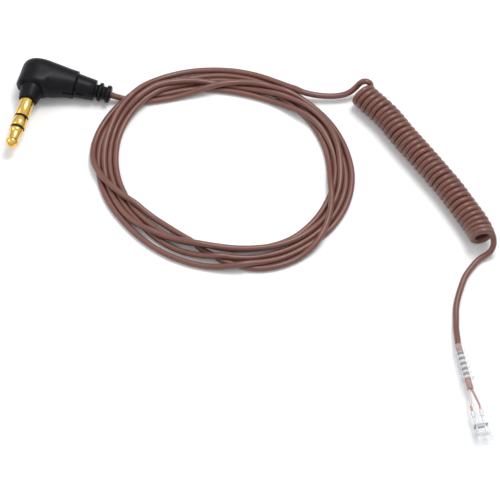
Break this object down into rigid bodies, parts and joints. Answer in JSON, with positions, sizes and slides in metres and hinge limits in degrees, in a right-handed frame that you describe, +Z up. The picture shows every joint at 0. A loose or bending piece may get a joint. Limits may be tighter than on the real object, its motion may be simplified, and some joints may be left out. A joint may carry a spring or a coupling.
{
  "type": "headset microphone cable",
  "caption": "Thin cable for a headset microphone: right-angle mini jack plug, cord laid in a ring, curly section and a small clear connector for the ear-worn part.",
  "frame": {"origin": "on the floor, at the middle of the box round the plug and the connector, which are the two rigid ends of the cable", "axes": "+X to the right, from the plug to the connector; +Y away from the front, the side the connector lies on; +Z up from the floor"},
  "size_m": [0.1158, 0.1033, 0.0081],
  "materials": {
    "gold": "bright gold plating",
    "band_black": "smooth black insulator",
    "insulator": "natural moulded plastic",
    "solder": "bright tinned metal",
    "core_light": "smooth wire insulation",
    "core_red": "smooth wire insulation",
    "copper": "fine bare strands",
    "plug_black": "satin moulded plastic",
    "cord_brown": "soft satin cord jacket",
    "clear_plastic": "clear moulded plastic"
  },
  "bodies": {
    "root": {"plug_tip": "gold", "tip_band": "band_black", "plug_ring": "gold", "ring_band": "band_black", "plug_sleeve": "gold", "rod_insulator": "insulator", "ring_tube_insulator": "insulator", "ring_washer": "insulator", "ring_lug": "gold", "tip_washer": "insulator", "tip_lug": "gold", "sleeve_lug": "gold", "plug_solder_joints": "solder", "tip_core_wire": "core_light", "ring_core_wire": "core_red", "plug_screen_wire": "copper", "plug_inner_mould": "insulator", "plug_body": "plug_black", "plug_strain_relief": "plug_black", "plug_cord_end": "cord_brown", "plug_lead": "cord_brown", "ring_coil": "cord_brown", "curly_lead": "cord_brown", "curly_cord": "cord_brown", "tail_lead": "cord_brown", "connector_strain_relief": "clear_plastic", "connector_body": "clear_plastic", "contact_holder": "clear_plastic", "left_contact": "solder", "right_contact": "solder", "left_core_wire": "core_light", "right_core_wire": "core_red", "core_strands": "copper", "connector_cord_end": "cord_brown"}
  },
  "joints": []
}
